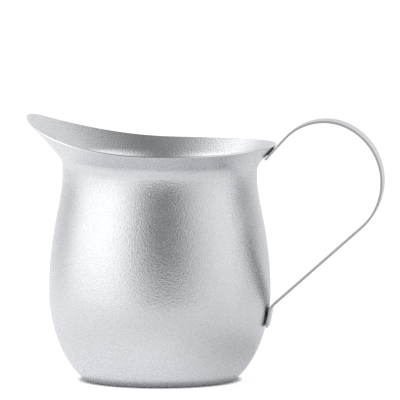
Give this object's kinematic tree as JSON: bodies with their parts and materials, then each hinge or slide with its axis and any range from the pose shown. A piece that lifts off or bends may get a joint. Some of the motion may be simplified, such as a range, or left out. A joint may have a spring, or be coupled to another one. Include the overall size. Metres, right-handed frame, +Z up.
{
  "type": "cream jug",
  "caption": "Small stainless steel cream jug: a bell-shaped drawn body with a flared rim and broad pouring lip, and a bent strip handle spot-welded on.",
  "frame": {"origin": "centre of the flat base, on the bell's axis, at table level", "axes": "+Z up along the bell's axis; +X towards the handle, so the lip points to -X; +Y completes the right-handed frame"},
  "size_m": [0.097, 0.0636, 0.0719],
  "materials": {
    "blasted_steel": "satin, bead-blasted, fine grain",
    "strip_steel": "satin, sheared edges",
    "weld_steel": "dull, as welded"
  },
  "bodies": {
    "root": {"jug_body": "blasted_steel", "handle_strip": "strip_steel", "upper_weld_nuggets": "weld_steel", "lower_weld_nuggets": "weld_steel"}
  },
  "joints": []
}
